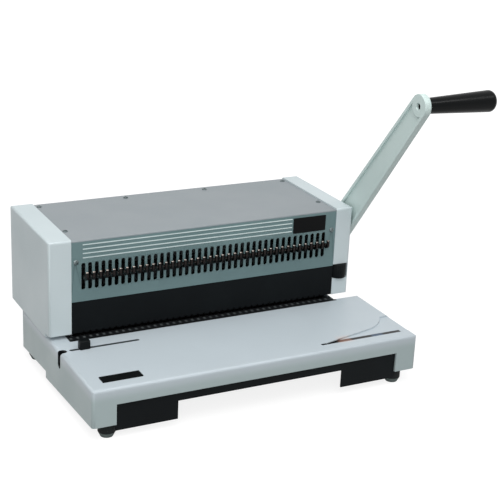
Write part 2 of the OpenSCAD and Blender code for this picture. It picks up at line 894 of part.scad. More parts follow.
module front_panel() {
    color("cadetblue") placed() difference() {
        box([inner_left, 0, panel_z], [inner_right, sheet_t, cover_under]);
        along_y(-over, sheet_t + over) for (x = row_x) translate([x, 0]) rotate(90)
            round_slot(slot_z, slot_z + slot_h, 0, slot_w);
        for (x = [inner_left + side_screw_inset, inner_right - side_screw_inset])
            translate([x, -over, panel_screw_z]) rotate([-90, 0, 0]) rod_z(0, sheet_t + 2 * over, screw_r);
    }
}

module throat_panel() {
    color("black") placed() difference() {
        box([inner_left, 0, throat_top], [inner_right, throat_panel_t, panel_z]);
        for (x = row_x) box([x - notch_w / 2, -over, throat_top - over],
                            [x + notch_w / 2, throat_panel_t + over, throat_top + notch_h]);
    }
}

// Bright lines along the top of the front panel
badge_inset = 16;
badge_drop = 3.2;
badge_x = inner_right - badge_inset - badge_w;
badge_z = cover_under - badge_h - badge_drop;

module trim_lines() {
    line_t = 0.5;
    line_inset = 14.5;
    line_gap = 2;
    start = inner_left + line_inset;
    end = badge_x - line_gap;
    top = cover_under - badge_drop;
    color("silver") placed() along_y(-line_t, 0) for (i = [0 : line_count - 1])
        rect([start, top - line_h - i * line_pitch], [end, top - i * line_pitch]);
}

module front_badge() {
    color("black") placed() along_y(-badge_t, 0)
        round_rect([badge_x, badge_z], [badge_x + badge_w, badge_z + badge_h], badge_round);
}

module top_screws() {
    color("gray") placed() {
        for (x = tie_screw_x) translate([x, top_screw_back, cover_top]) round_screw();
        for (x = [tie_screw_x[0], tie_screw_x[3]]) translate([x, top_screw_front, cover_top]) round_screw();
    }
}

module panel_screws() {
    color("gray") placed() for (x = [inner_left + side_screw_inset, inner_right - side_screw_inset])
        translate([x, 0, panel_screw_z]) rotate([90, 0, 0]) round_screw(sheet_t + tab_t);
}

module rear_screws() {
    color("gray") placed() for (x = tie_screw_x) translate([x, back_face, rear_screw_z]) rotate([-90, 0, 0])
        round_screw(sheet_t + tie_t);
}

// Punch unit

// One square hole or pin for each place in the row
module pin_row(z0, z1, side) {
    along_z(z0, z1) for (x = row_x) translate([x, pin_setback]) square(side, center = true);
}

// Places of the two bolts that hold guide, stop and die together
module at_stack_bolts(z) {
    for (x = [frame_left + stack_bolt_inset, frame_right - stack_bolt_inset])
        translate([x, stack_bolt_y, z]) children();
}

// Places of the two guide pillars
module at_pillars(z) {
    for (x = [-pillar_x, pillar_x]) translate([x, pillar_y, z]) children();
}

module die_plate() {
    color("silver") placed() difference() {
        box([frame_left, bar_front, die_z], [frame_right, block_back, tray_z]);
        pin_row(die_z - over, tray_z + over, pin_side + 2 * pin_gap);
        at_stack_bolts(0) rod_z(die_z - over, tray_z + over, bolt_r);
    }
}

module paper_stop() {
    color("silver") placed() difference() {
        box([frame_left, stop_front, tray_z], [frame_right, block_back, throat_top]);
        at_stack_bolts(0) rod_z(tray_z - over, throat_top + over, bolt_r);
    }
}

module punch_guide() {
    color("silver") placed() difference() {
        box([frame_left, block_front, guide_z], [frame_right, block_back, guide_top]);
        pin_row(guide_z - over, guide_top + over, pin_side + 2 * pin_gap);
        at_stack_bolts(0) rod_z(guide_z - over, guide_top + over, bolt_r);
        at_pillars(0) rod_z(guide_z - over, guide_top + over, pillar_r);
    }
}

module stack_bolts() {
    color("gray") placed() at_stack_bolts(guide_top) socket_bolt(guide_top - die_z + die_tab_t);
}

module guide_pillars() {
    color("silver") placed() at_pillars(0) rod_z(guide_z, bar_top + slide_gap + pillar_nut_h, pillar_r);
}

module pillar_nuts() {
    color("gray") placed() at_pillars(bar_top + slide_gap) difference() {
        cylinder(h = pillar_nut_h, r = pillar_nut_r, $fn = 6);
        rod_z(-over, pillar_nut_h + over, pillar_r);
    }
}

// Coil spring as one tube swept along a helix from z0 to z1
module coil_spring(z0, z1, coil_r, wire_r, turns) {
    rings_per_turn = 12;
    rings = turns * rings_per_turn;
    ring_angle = 360 / rings_per_turn;
    sides = 6;
    side_angle = 360 / sides;
    function outward(i) = [cos(i * ring_angle), sin(i * ring_angle), 0];
    function centre(i) = coil_r * outward(i) + [0, 0, z0 + (z1 - z0) * i / rings];
    function ring_point(i, j) =
        centre(i) + wire_r * (cos(j * side_angle) * outward(i) + [0, 0, sin(j * side_angle)]);
    points = [for (i = [0 : rings], j = [0 : sides - 1]) ring_point(i, j)];
    walls = [for (i = [0 : rings - 1], j = [0 : sides - 1]) each [
        [i * sides + j, (i + 1) * sides + j, i * sides + (j + 1) % sides],
        [(i + 1) * sides + j, (i + 1) * sides + (j + 1) % sides, i * sides + (j + 1) % sides]
    ]];
    start = [for (j = [1 : sides - 2]) [0, j, j + 1]];
    last = rings * sides;
    end = [for (j = [1 : sides - 2]) [last, last + j + 1, last + j]];
    polyhedron(points, concat(walls, start, end));
}

module return_springs() {
    wire_r = spring_wire / 2;
    pillar_gap = 1;
    end_gap = 0.2;
    coil_r = pillar_r + pillar_gap + wire_r;
    seat = wire_r + end_gap;
    color("silver") placed() at_pillars(0)
        coil_spring(guide_top + seat, bar_z - seat, coil_r, wire_r, spring_turns);
}

module punch_bar() {
    color("gray") placed() difference() {
        box([frame_left + bar_inset, bar_front, bar_z], [frame_right - bar_inset, block_back, bar_top]);
        at_pillars(0) rod_z(bar_z - over, bar_top + over, pillar_r + turn_gap);
        at_rack_screws(0) rod_z(bar_top - bar_h / 2, bar_top + over, screw_r);
    }
}

module punch_pins() {
    color("silver") placed() pin_row(throat_top + tip_inset, bar_z, pin_side);
}

module pin_clamp() {
    color("gray") placed() difference() {
        box([-row_half - hole_pitch / 2, bar_front, clamp_z], [row_half + hole_pitch / 2, clamp_back, bar_z]);
        pin_row(clamp_z - over, bar_z + over, pin_side);
    }
}

// Places of the screws through the feet of the racks
module at_rack_screws(z) {
    for (side = [-1, 1], end = [-1, 1])
        translate([side * rack_offset + end * (rack_foot_w / 2 - rack_screw_in), rack_screw_y, z]) children();
}

// Rack outline in Y and Z: straight-sided teeth facing the shaft, in step with the pinion's
module rack_outline() {
    half_root = tooth_step / 4 + tooth_in * tan(pressure_angle) - backlash / 4;
    half_tip = tooth_step / 4 - tooth_out * tan(pressure_angle) - backlash / 4;
    first = -floor(rack_reach / tooth_step);
    count = floor((stroke + 2 * rack_reach) / tooth_step);
    rect([rack_front, bar_top], [rack_front + rack_t, rack_top]);
    for (i = [0 : count - 1]) {
        z = shaft_z + (first + i + 0.5) * tooth_step;
        polygon([
            [pitch_line - tooth_in, z - half_root], [pitch_line + tooth_out, z - half_tip],
            [pitch_line + tooth_out, z + half_tip], [pitch_line - tooth_in, z + half_root]
        ]);
    }
}

module drive_racks() {
    color("gray") placed() difference() {
        for (side = [-1, 1]) {
            along_x(side * rack_offset - gear_w / 2, side * rack_offset + gear_w / 2) rack_outline();
            box([side * rack_offset - rack_foot_w / 2, rack_front, bar_top],
                [side * rack_offset + rack_foot_w / 2, rack_front + rack_t + rack_foot_toe,
                 bar_top + rack_foot_h]);
        }
        at_rack_screws(0) rod_z(bar_top - over, bar_top + rack_foot_h + over, screw_r);
    }
}

module rack_screws() {
    color("silver") placed() at_rack_screws(bar_top + rack_foot_h) round_screw(rack_foot_h + bar_h / 2);
}

// Shaft and lever

// Point of an involute tooth flank at radius r, mirrored by side, for a tooth that points along -Y
base_circle = pitch_r * cos(pressure_angle);
function roll(r) = sqrt(max(0, pow(r / base_circle, 2) - 1)) * 180 / PI;
function involute(r) = roll(r) - atan(roll(r) * PI / 180);
half_tooth = 90 / gear_teeth - backlash / 4 / pitch_r * 180 / PI;
function flank_angle(r) = half_tooth + involute(pitch_r) - involute(max(r, base_circle));
function flank(r, mid, side) = r * [
    -cos(mid + side * flank_angle(r)), -sin(mid + side * flank_angle(r))
];

// Pinion outline in Y and Z, one tooth on the line to the rack
module pinion_outline() {
    root_r = pitch_r - tooth_in;
    tip = pitch_r + tooth_out;
    root_sink = 0.2;
    steps = 4;
    radii = [root_r - root_sink, for (i = [0 : steps]) base_circle + (tip - base_circle) * i / steps];
    circle(root_r);
    for (t = [0 : gear_teeth - 1]) {
        mid = t * 360 / gear_teeth;
        polygon([
            for (r = radii) flank(r, mid, -1),
            for (i = [steps + 1 : -1 : 0]) flank(radii[i], mid, 1)
        ]);
    }
}

module at_shaft() {
    translate([0, shaft_setback, shaft_z]) children();
}

module main_shaft() {
    color("silver") placed() at_shaft() rod_x(inner_left - shaft_stub, arm_out, shaft_r);
}

module drive_pinions() {
    color("gray") placed() at_shaft() difference() {
        for (side = [-1, 1])
            along_x(side * rack_offset - gear_w / 2, side * rack_offset + gear_w / 2) pinion_outline();
        rod_x(-rack_offset - gear_w, rack_offset + gear_w, shaft_r);
    }
}

module shaft_bushes() {
    flange_r = bush_r + 3;
    flange_t = 2;
    outboard = 12;
    color("goldenrod") placed() at_shaft() difference() {
        union() {
            rod_x(inner_left, frame_left, bush_r);
            rod_x(frame_left, frame_left + flange_t, flange_r);
            rod_x(frame_right, inner_right + outboard, bush_r);
            rod_x(frame_right - flange_t, frame_right, flange_r);
        }
        rod_x(inner_left - over, inner_right + outboard + over, shaft_r + turn_gap);
    }
}

// Ring round the main shaft
module shaft_ring(x0, x1, r) {
    at_shaft() difference() {
        rod_x(x0, x1, r);
        rod_x(x0 - over, x1 + over, shaft_r);
    }
}

module shaft_collar() {
    color("gray") placed()
        shaft_ring(inner_left - slide_gap - collar_w, inner_left - slide_gap, shaft_r + collar_wall);
}

module lever_spacer() {
    color("silver") placed() shaft_ring(outer_right + slide_gap, arm_x, shaft_r + collar_wall);
}

// Tapered outline round the shaft end and the grip end, drawn in by inset
module arm_outline(inset) {
    r1 = hub_r - inset;
    r2 = tip_r - inset;
    lean_in = asin((r1 - r2) / lever_length);
    left = lever_side * cos(lean_in) + lever_dir * sin(lean_in);
    right = -lever_side * cos(lean_in) + lever_dir * sin(lean_in);
    translate(lever_pivot) circle(r1);
    translate(lever_tip) circle(r2);
    polygon([
        lever_pivot + r1 * left, lever_tip + r2 * left,
        lever_tip + r2 * right, lever_pivot + r1 * right
    ]);
}

// Hollow of the arm's faces: the outline inside the rim, between the two bosses
module arm_hollow_outline() {
    difference() {
        arm_outline(arm_rim);
        translate(lever_pivot) circle(hub_r - hub_boss_in);
        translate(lever_tip) circle(tip_r - tip_boss_in);
    }
}

module lever_arm() {
    color("lightgray") placed() difference() {
        along_x(arm_x, arm_out) arm_outline(0);
        along_x(arm_x - over, arm_x + arm_hollow) arm_hollow_outline();
        along_x(arm_out - arm_hollow, arm_out + over) arm_hollow_outline();
        at_shaft() rod_x(arm_x - over, arm_out + over, shaft_r);
        translate([0, lever_tip.x, lever_tip.y]) rod_x(arm_x - over, arm_out + over, grip_bolt_r);
    }
}

module lever_bolt() {
    washer_r = shaft_r + collar_wall;
    washer_t = 2;
    head_h = 5;
    color("gray") placed() at_shaft() translate([arm_out, 0, 0]) {
        rod_x(0, washer_t, washer_r);
        translate([washer_t, 0, 0]) rotate([0, 90, 0]) cylinder(h = head_h, r = shaft_r, $fn = 6);
    }
}

module grip_bolt() {
    socket_depth = 4;
    socket_r = 0.6 * grip_bolt_r;
    start = arm_x + grip_socket;
    color("gray") placed() translate([0, lever_tip.x, lever_tip.y]) difference() {
        rod_x(start, grip_x + grip_bolt_depth, grip_bolt_r);
        translate([start - over, 0, 0]) rotate([0, 90, 0])
            cylinder(h = socket_depth + over, r = socket_r, $fn = 6);
    }
}

// Grip turned about its bolt: a slim neck that swells towards a flat end with a rounded edge
module hand_grip() {
    end_r = grip_d_outer / 2;
    neck_r = grip_d_inner / 2;
    edge_x = grip_length - grip_end_r;
    chamfer = 0.8;
    swell = 0.5;
    swell_run = 12;
    overlap = 0.01;
    color("black") placed() translate([grip_x, lever_tip.x, lever_tip.y]) rotate([0, 90, 0]) rotate_extrude()
        difference() {
            union() {
                polygon([
                    [0, 0], [neck_r - chamfer, 0], [neck_r, chamfer],
                    [end_r - swell, edge_x - swell_run], [end_r, edge_x], [0, edge_x]
                ]);
                rect([0, edge_x - overlap], [end_r - grip_end_r, grip_length]);
                intersection() {
                    translate([end_r - grip_end_r, edge_x]) circle(grip_end_r);
                    rect([end_r - grip_end_r, edge_x - overlap], [end_r, grip_length]);
                }
            }
            rect([-over, -over], [grip_bolt_r + turn_gap, grip_bolt_depth + slide_gap]);
        }
}

// Hooks and their lift

// Outline of one hook in Y and Z: a stem from the rail, a cradle and a prong with a round tip
module hook_outline() {
    outer_r = hook_cradle_r + hook_wall;
    middle = [outer_r - hook_reach, hook_z - hook_stem_h / 2 + outer_r];
    prong_top = middle.y + hook_prong_rise;
    difference() {
        union() {
            rect([middle.x, hook_z - hook_stem_h / 2], [rail_front, hook_z + hook_stem_h / 2]);
            difference() {
                translate(middle) circle(outer_r);
                rect(middle - [outer_r + over, 0], middle + [outer_r + over, outer_r + over]);
            }
            rect([-hook_reach, middle.y], [hook_wall - hook_reach, prong_top]);
            translate([hook_wall / 2 - hook_reach, prong_top]) circle(hook_wall / 2);
        }
        translate(middle) circle(hook_cradle_r);
    }
}

module wire_hooks() {
    color("gray") placed() for (x = row_x) along_x(x - hook_t / 2, x + hook_t / 2) hook_outline();
}

module hook_rail() {
    color("gray") placed()
        box([inner_left - rail_end, rail_front, rail_z],
            [inner_right + rail_end, rail_back, rail_z + rail_h]);
}

// Plate that carries the hook rail on the lift screw
module lift_plate() {
    color("silver") placed() difference() {
        box([inner_right + wheel_gap, wheel_y - screw_d / 2, rail_z - lift_plate_t],
            [wheel_x + screw_d, rail_back, rail_z]);
        translate([wheel_x, wheel_y, 0]) rod_z(rail_z - lift_plate_t - over, rail_z + over, lift_pin_r);
    }
}

module lift_screw() {
    color("silver") placed() translate([wheel_x, wheel_y, 0]) {
        rod_z(lift_screw_z, rail_z - lift_plate_t, screw_d / 2);
        rod_z(rail_z - lift_plate_t, rail_z, lift_pin_r);
    }
}

// Fluted thumb wheel that turns on the lift screw, with a hub above and below
module height_wheel() {
    flute_r = PI * wheel_d / flute_count / 3;
    flute_out = wheel_d / 2 + flute_r * 0.4;
    hub_z = wheel_z - wheel_gap - ledge_t;
    hub_top = wheel_z + wheel_h + wheel_gap + ledge_t;
    color("black") placed() translate([wheel_x, wheel_y, 0]) difference() {
        union() {
            along_z(wheel_z, wheel_z + wheel_h) difference() {
                circle(wheel_d / 2);
                for (i = [0 : flute_count - 1]) rotate(i * 360 / flute_count)
                    translate([flute_out, 0]) circle(flute_r);
            }
            rod_z(hub_z, hub_top, wheel_hub_r);
        }
        rod_z(hub_z - over, hub_top + over, screw_d / 2 + turn_gap);
    }
}

// Edge guide

module edge_guide() {
    low = tray_z + slide_gap;
    neck_z = base_ceiling - slide_gap;
    half_neck = groove_w / 2 - slide_gap;
    mid = edge_guide_w / 2;
    corner_r = 1.2;
    below = 2 * corner_r;
    color("black") placed() translate([edge_guide_x, -groove_setback, 0]) difference() {
        union() {
            difference() {
                soft_block([0, -edge_guide_d / 2, low - below],
                           [edge_guide_w, edge_guide_d / 2, low + edge_guide_h], corner_r);
                box([-over, -edge_guide_d, low - below - over], [edge_guide_w + over, edge_guide_d, low]);
            }
            box([mid - edge_neck / 2, -half_neck, neck_z], [mid + edge_neck / 2, half_neck, low + over]);
        }
        translate([mid, 0, 0]) rod_z(neck_z - over, neck_z + edge_screw_in, edge_screw_r);
    }
}

module guide_clamp() {
    top = base_ceiling - slide_gap;
    half_l = 9;
    half_w = 6;
    corner_r = 2;
    color("gray") placed() translate([edge_guide_x + edge_guide_w / 2, -groove_setback, 0]) difference() {
        along_z(top - edge_clamp_t, top)
            round_rect([-half_l, -half_w], [half_l, half_w], corner_r);
        rod_z(top - edge_clamp_t - over, top + over, edge_screw_r);
    }
}

module guide_screw() {
    top = base_ceiling - slide_gap - edge_clamp_t;
    color("silver") placed() translate([edge_guide_x + edge_guide_w / 2, -groove_setback, top]) {
        rod_z(-screw_head_h, 0, screw_head_r);
        rod_z(0, edge_clamp_t + edge_screw_in, edge_screw_r);
    }
}

// Waste drawer

module drawer_runners() {
    lip_h = 8;
    width = 12;
    front_in = 5;
    back_in = 1;
    start = drawer_front + front_in;
    back = drawer_back - back_in;
    color("silver") placed() for (side = [0, 1]) {
        x = side == 0 ? frame_left : frame_right - width;
        lip = side == 0 ? frame_left : frame_right - runner_t;
        box([x, start, floor_top], [x + width, back, floor_top + runner_t]);
        box([lip, start, floor_top + runner_t], [lip + runner_t, back, floor_top + runner_t + lip_h]);
    }
}

module waste_drawer() {
    mid = (drawer_left + drawer_right) / 2;
    pull_w = 60;
    pull_t = 5;
    pull_r = 3;
    pull_z = drawer_z + (drawer_face_h - pull_t) / 2;
    color("dimgray") placed() {
        difference() {
            box([drawer_left, drawer_front, drawer_z], [drawer_right, drawer_back, drawer_z + drawer_h]);
            box([drawer_left + drawer_wall, drawer_front + drawer_wall, drawer_z + drawer_wall],
                [drawer_right - drawer_wall, drawer_back - drawer_wall, drawer_z + drawer_h + over]);
        }
        box([drawer_left - drawer_wing, drawer_back, drawer_z],
            [drawer_right + drawer_wing, base_back, drawer_z + drawer_face_h]);
        along_z(pull_z, pull_z + pull_t) difference() {
            round_rect([mid - pull_w / 2, base_back - pull_r],
                       [mid + pull_w / 2, base_back + pull_reach], pull_r);
            rect([mid - pull_w, base_back - 2 * pull_r], [mid + pull_w, base_back]);
        }
    }
}

base_cover();
chassis_frame();
rubber_feet();
foot_screws();
base_screws();
left_side_frame();
right_side_frame();
tie_bar();
left_end_cap();
right_end_cap();
cap_screws();
top_cover();
rear_cover();
front_panel();
throat_panel();
trim_lines();
front_badge();
base_badge();
top_screws();
panel_screws();
rear_screws();
die_plate();
paper_stop();
punch_guide();
stack_bolts();
guide_pillars();
pillar_nuts();
return_springs();
shaft_bushes();
drawer_runners();
main_shaft();
drive_pinions();
shaft_collar();
lever_spacer();
lever_arm();
lever_bolt();
grip_bolt();
hand_grip();
punch_bar();
punch_pins();
pin_clamp();
drive_racks();
rack_screws();
hook_rail();
wire_hooks();
lift_plate();
lift_screw();
height_wheel();
edge_guide();
guide_clamp();
guide_screw();
waste_drawer();
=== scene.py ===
# Looks of the wire binding machine: a finish for every node, painted marks, painted shade and highlights,
# softened edges, a foam strip and a copy of the springs, with the floor, light and camera around it.
# Lengths are metres, in the part's own frame.

import math

import bpy
from mathutils import Matrix, Vector


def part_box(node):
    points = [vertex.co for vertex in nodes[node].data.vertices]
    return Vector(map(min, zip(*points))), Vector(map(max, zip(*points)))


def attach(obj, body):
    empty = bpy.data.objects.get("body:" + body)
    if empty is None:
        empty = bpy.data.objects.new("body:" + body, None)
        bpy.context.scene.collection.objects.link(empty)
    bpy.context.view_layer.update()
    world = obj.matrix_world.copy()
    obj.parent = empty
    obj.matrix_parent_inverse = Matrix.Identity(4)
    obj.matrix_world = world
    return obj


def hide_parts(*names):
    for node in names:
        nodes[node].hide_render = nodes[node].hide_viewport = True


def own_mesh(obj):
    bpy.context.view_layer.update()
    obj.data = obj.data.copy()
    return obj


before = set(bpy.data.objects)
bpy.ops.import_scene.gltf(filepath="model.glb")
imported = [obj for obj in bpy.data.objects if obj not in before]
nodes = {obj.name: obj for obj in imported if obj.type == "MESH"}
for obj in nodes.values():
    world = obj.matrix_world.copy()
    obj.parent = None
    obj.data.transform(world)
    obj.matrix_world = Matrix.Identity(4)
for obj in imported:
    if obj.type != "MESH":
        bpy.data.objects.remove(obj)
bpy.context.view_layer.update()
scene = bpy.context.scene

MM = 0.001
X = 0
Z = 2
WHITE = (1, 1, 1, 1)


# Helpers


def linear(red, green, blue):
    """A colour written as 0 to 255, as the shader's linear colour, by the sRGB curve."""

    def channel(value):
        value /= 255
        return value / 12.92 if value <= 0.04045 else ((value + 0.055) / 1.055) ** 2.4

    return (channel(red), channel(green), channel(blue), 1)


def add_node(tree, kind, **settings):
    """A new shader node with those settings."""
    node = tree.nodes.new(kind)
    for key, value in settings.items():
        setattr(node, key, value)
    return node


def set_sockets(node, **values):
    """Sets a node's inputs, which are named with an underscore for each space."""
    for name, value in values.items():
        node.inputs[name.replace("_", " ")].default_value = value


def add_object(name, data):
    """A new object in the scene, made of that mesh, lamp or camera."""
    obj = bpy.data.objects.new(name, data)
    scene.collection.objects.link(obj)
    return obj


def add_mesh(name, points, faces, material):
    """A new object in the scene, with a mesh of those points and faces."""
    mesh = bpy.data.meshes.new(name)
    mesh.from_pydata(points, [], faces)
    mesh.materials.append(material)
    return add_object(name, mesh)


# Layers of a finish

NOISE_RANGE = (0.3, 0.7)


class Finish:
    """A Principled material whose colour, roughness and bump are built up in procedural layers."""

    def __init__(self, name, color, roughness, **sockets):
        self.material = bpy.data.materials.new(name)
        self.material.use_nodes = True
        self.tree = self.material.node_tree
        self.shader = self.tree.nodes["Principled BSDF"]
        self.color = linear(*color)
        set_sockets(self.shader, Base_Color=self.color, Roughness=roughness, **sockets)
        self.place = self.add("ShaderNodeTexCoord").outputs["Object"]
        self.color_from = None

    def add(self, kind, **settings):
        """A new node in this material."""
        return add_node(self.tree, kind, **settings)

    def link(self, source, target):
        """Joins an output socket to an input."""
        self.tree.links.new(source, target)

    def noise(self, scale, detail, stretch=(1, 1, 1)):
        """Noise value with that many cells to the metre; stretch pulls it out along an axis."""
        mapping = self.add("ShaderNodeMapping")
        set_sockets(mapping, Scale=[1 / s for s in stretch])
        texture = self.add("ShaderNodeTexNoise")
        set_sockets(texture, Scale=scale, Detail=detail)
        self.link(self.place, mapping.inputs["Vector"])
        self.link(mapping.outputs["Vector"], texture.inputs["Vector"])
        return texture.outputs["Fac"]

    def calculate(self, operation, *values):
        """The result of an operation on sockets and numbers."""
        node = self.add("ShaderNodeMath", operation=operation)
        for socket, value in zip(node.inputs, values):
            if isinstance(value, float):
                socket.default_value = value
            else:
                self.link(value, socket)
        return node.outputs["Value"]

    def axis(self, index):
        """One coordinate of the surface point."""
        split = self.add("ShaderNodeSeparateXYZ")
        self.link(self.place, split.inputs["Vector"])
        return split.outputs[index]

    def spread(self, value, low, high, start=0.0, end=1.0):
        """The value's range from low to high, drawn out smoothly from start to end."""
        node = self.add("ShaderNodeMapRange", interpolation_type="SMOOTHSTEP")
        self.link(value, node.inputs["Value"])
        set_sockets(node, From_Min=low, From_Max=high, To_Min=start, To_Max=end)
        return node.outputs["Result"]

    def within(self, low, high, edge):
        """High inside the box from low to high, fading over the edge's width."""
        product = None
        for index in range(3):
            for limit, inward in ((low[index], 1), (high[index], -1)):
                side = self.spread(self.axis(index), limit - inward * edge, limit + inward * edge)
                product = self.calculate("MULTIPLY", product, side) if product else side
        return product

    def comb(self, index, middle, pitch, half, edge):
        """High on stripes across an axis, one to each pitch, with one stripe at middle."""
        along = self.calculate("SUBTRACT", self.axis(index), middle - pitch / 2)
        share = self.calculate("FRACT", self.calculate("DIVIDE", along, pitch))
        offset = self.calculate("ABSOLUTE", self.calculate("SUBTRACT", share, 0.5))
        return self.spread(offset, (half + edge) / pitch, (half - edge) / pitch)

    def tint(self, value, color):
        """Mixes another colour in where the value is high."""
        mix = self.add("ShaderNodeMix", data_type="RGBA")
        first, second = (s for s in mix.inputs if s.type == "RGBA")
        if self.color_from:
            self.link(self.color_from, first)
        else:
            first.default_value = self.color
        second.default_value = linear(*color)
        self.link(value, mix.inputs["Factor"])
        self.color_from = next(s for s in mix.outputs if s.type == "RGBA")
        self.link(self.color_from, self.shader.inputs["Base Color"])

    def clouds(self, color, scale, detail, low, high, most=1.0):
        """Mixes another colour in where noise rises from low to high, up to the share given by most."""
        self.tint(self.spread(self.noise(scale, detail), low, high, end=most), color)

    def paint(self, boxes, edge, color):
        """Mixes another colour in inside the boxes, fading over the edge's width."""
        for low, high in boxes:
            self.tint(self.within(low, high, edge), color)

    def roughen(self, value, smooth, rough):
        """Lets the roughness vary with a noise value."""
        self.link(self.spread(value, *NOISE_RANGE, smooth, rough), self.shader.inputs["Roughness"])

    def bump(self, value, strength, depth):
        """Gives the surface relief of that depth."""
        node = self.add("ShaderNodeBump")
        set_sockets(node, Strength=strength, Distance=depth)
        self.link(value, node.inputs["Height"])
        self.link(node.outputs["Normal"], self.shader.inputs["Normal"])


# Kinds of finish


def moulded(name, color, shade, roughness, grain=1500, **sockets):
    """Moulded plastic: a fine even grain, faint clouds of shade and patches polished by handling."""
    finish = Finish(name, color, roughness, **sockets)
    finish.clouds(shade, scale=7, detail=4, low=0.38, high=0.66)
    finish.roughen(finish.noise(scale=16, detail=5), smooth=roughness - 0.06, rough=roughness + 0.08)
    finish.bump(finish.noise(scale=grain, detail=2), strength=0.10, depth=0.2 * MM)
    return finish


def powder_coat(name, color, shade, roughness, peel=650, **sockets):
    """Sprayed paint: orange peel, light clouds and pin-point specks."""
    finish = Finish(name, color, roughness, **sockets)
    finish.clouds(shade, scale=9, detail=4, low=0.36, high=0.68)
    finish.clouds(shade, scale=2400, detail=1, low=0.66, high=0.80, most=0.35)
    finish.roughen(finish.noise(scale=22, detail=4), smooth=roughness - 0.02, rough=roughness + 0.03)
    finish.bump(finish.noise(scale=peel, detail=2), strength=0.12, depth=0.12 * MM)
    return finish


def brushed(name, color, shade, roughness, stretch=(60, 1, 1)):
    """Bare metal with fine grinding lines along the axis that stretch pulls out most."""
    finish = Finish(name, color, roughness, Metallic=1.0)
    lines = finish.noise(scale=2200, detail=4, stretch=stretch)
    finish.tint(finish.spread(lines, low=0.35, high=0.75), shade)
    finish.clouds(shade, scale=30, detail=4, low=0.52, high=0.75, most=0.5)
    finish.roughen(lines, smooth=roughness - 0.06, rough=roughness + 0.10)
    finish.bump(lines, strength=0.12, depth=0.1 * MM)
    return finish


def rubber(name, color, worn, tread_height):
    """Black rubber whose lower rim is scuffed grey by the desk."""
    finish = Finish(name, color, roughness=0.72, Specular_IOR_Level=0.2)
    full_height = tread_height * 0.8
    finish.tint(finish.spread(finish.axis(Z), tread_height, full_height), worn)
    finish.clouds(worn, scale=260, detail=4, low=0.6, high=0.8, most=0.25)
    finish.bump(finish.noise(scale=900, detail=3), strength=0.3, depth=0.3 * MM)
    return finish


def screw_metal(name, color, shade):
    """Plated screws with a little tarnish."""
    finish = Finish(name, color, roughness=0.34, Metallic=1.0)
    finish.clouds(shade, scale=420, detail=4, low=0.45, high=0.7)
    finish.roughen(finish.noise(scale=900, detail=3), smooth=0.28, rough=0.46)
    finish.bump(finish.noise(scale=1800, detail=2), strength=0.1, depth=0.1 * MM)
    return finish


# Finishes, each with its colour, the shade that clouds it and its roughness

base_grey = moulded("base_grey", (184, 194, 200), (181, 191, 197), 0.36, Specular_IOR_Level=0.3)
cap_grey = moulded("cap_grey", (194, 205, 208), (190, 202, 205), 0.46)
cover_grey = powder_coat("cover_grey", (135, 142, 146), (132, 140, 144), 0.50)
panel_green = powder_coat("panel_green", (98, 122, 124), (91, 115, 117), 0.48)
black_paint = powder_coat("black_paint", (11, 14, 16), (16, 20, 22), 0.55, Specular_IOR_Level=0.08)
plate_black = moulded("plate_black", (7, 8, 9), (10, 11, 12), 0.36, grain=2600, Specular_IOR_Level=0.07)
silver_line = brushed("silver_line", (202, 214, 213), (184, 198, 198), 0.42)
zinc_steel = brushed("zinc_steel", (150, 154, 158), (126, 131, 136), 0.44, stretch=(1, 1, 30))
ground_steel = brushed("ground_steel", (150, 154, 157), (122, 126, 130), 0.36)
dark_steel = brushed("dark_steel", (46, 46, 47), (26, 26, 27), 0.36, stretch=(1, 4, 1))
hook_steel = brushed("hook_steel", (46, 42, 41), (24, 22, 22), 0.24, stretch=(1, 4, 1))
plated_screw = screw_metal("plated_screw", (114, 124, 125), (86, 96, 98))
bronze = brushed("bronze", (168, 134, 82), (134, 104, 60), 0.42)
foot_rubber = rubber("foot_rubber", (15, 20, 20), (104, 115, 113), tread_height=6.5 * MM)
lever_enamel = powder_coat("lever_enamel", (198, 215, 212), (193, 210, 207), 0.38, peel=420)
grip_gloss = moulded("grip_gloss", (4, 6, 7), (6, 8, 9), 0.24, grain=700, Specular_IOR_Level=0.11)
black_plastic = moulded(
    "black_plastic", (12, 15, 16), (17, 20, 22), 0.48, grain=1100, Specular_IOR_Level=0.10,
)
drawer_plastic = moulded("drawer_plastic", (34, 38, 41), (40, 44, 48), 0.50, Specular_IOR_Level=0.25)
seal_foam = moulded("seal_foam", (13, 14, 15), (20, 21, 22), 0.75, grain=800, Specular_IOR_Level=0.05)


# Paint of the base: painted shade, print and painted highlights

SKIN = 0.4 * MM
BASE_WALL = 3 * MM
BASE_TOP = 4 * MM
TRAY_DEPTH = 143 * MM
BODY_RIGHT_IN = 36 * MM
# Painted shade: the base's walls turn darker from just below the top downward, for the shade low on the
# machine.
WALL_SHADE_START = 3 * MM
WALL_SHADE_FULL = 16 * MM
WALL_PAINTED_SHADE = (164, 178, 179)
HOLLOW_EDGE = 0.3 * MM

# Painted shade: the hollow, slots, groove, the band behind the gauge slot and the lip before the throat are
# painted dark where shade falls.
SLOT_EDGE = 0.1 * MM
PAINTED_SHADE_BLACK = (16, 18, 20)
GROOVE_PAINTED_SHADE = (72, 78, 80)
GROOVE_Y = 113 * MM
GROOVE_FROM_LEFT = (13 * MM, 102 * MM)
GROOVE_HALF = 2.6 * MM
EDGE_SLOT_LENGTH = 10 * MM
EDGE_SLOT_HALF = 4.9 * MM
EDGE_SLOT_DROP = 21 * MM
GAUGE_Y = 18 * MM
GAUGE_FROM_RIGHT = (129 * MM, 11 * MM)
GAUGE_HALF = 2.1 * MM
# Width of the painted shade band behind the gauge slot.
GAUGE_SHADE_BAND = 8 * MM
GAUGE_SHADE_BAND_SKIN = 3 * SKIN
# The lip before the throat, painted black as the throat's shade.
LIP_Y = (136 * MM, 156 * MM)
LIP_FROM_LEFT = 22 * MM
LIP_FROM_RIGHT = 36.5 * MM

